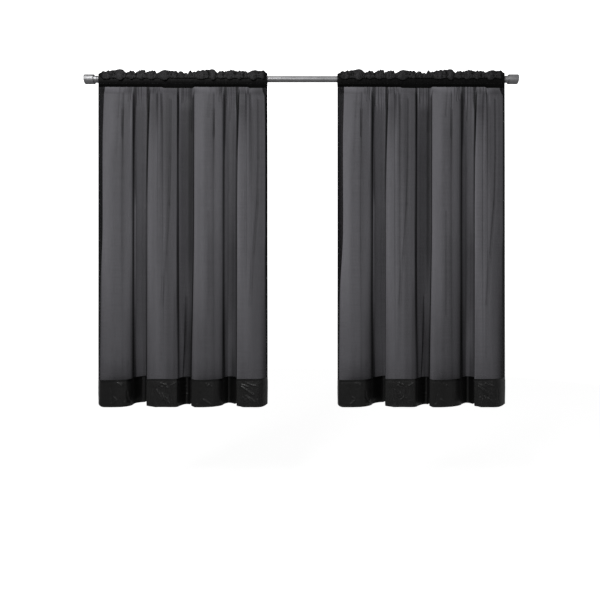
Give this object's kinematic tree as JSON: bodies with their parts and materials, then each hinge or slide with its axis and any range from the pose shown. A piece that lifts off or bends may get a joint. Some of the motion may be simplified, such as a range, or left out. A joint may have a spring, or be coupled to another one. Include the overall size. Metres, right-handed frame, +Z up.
{
  "type": "sheer voile curtain pair on a curtain rod",
  "caption": "Sheer rod-pocket curtain panels with a ruffled heading and deep hem, hung in uneven folds on a round metal rod with cylindrical end caps.",
  "frame": {"origin": "on the rod's axis at mid-span, between the panels", "axes": "+X along the rod to the viewer's right, +Y away from the viewer towards the window, +Z up"},
  "size_m": [2.076, 0.1282, 1.5991],
  "materials": {
    "voile": "matt charcoal voile, see-through where it is one layer",
    "rod_metal": "satin pewter grey",
    "finial_metal": "satin pewter grey"
  },
  "bodies": {
    "root": {"panel_left": "voile", "panel_right": "voile", "rod": "rod_metal", "finial_left": "finial_metal", "finial_right": "finial_metal"}
  },
  "joints": []
}
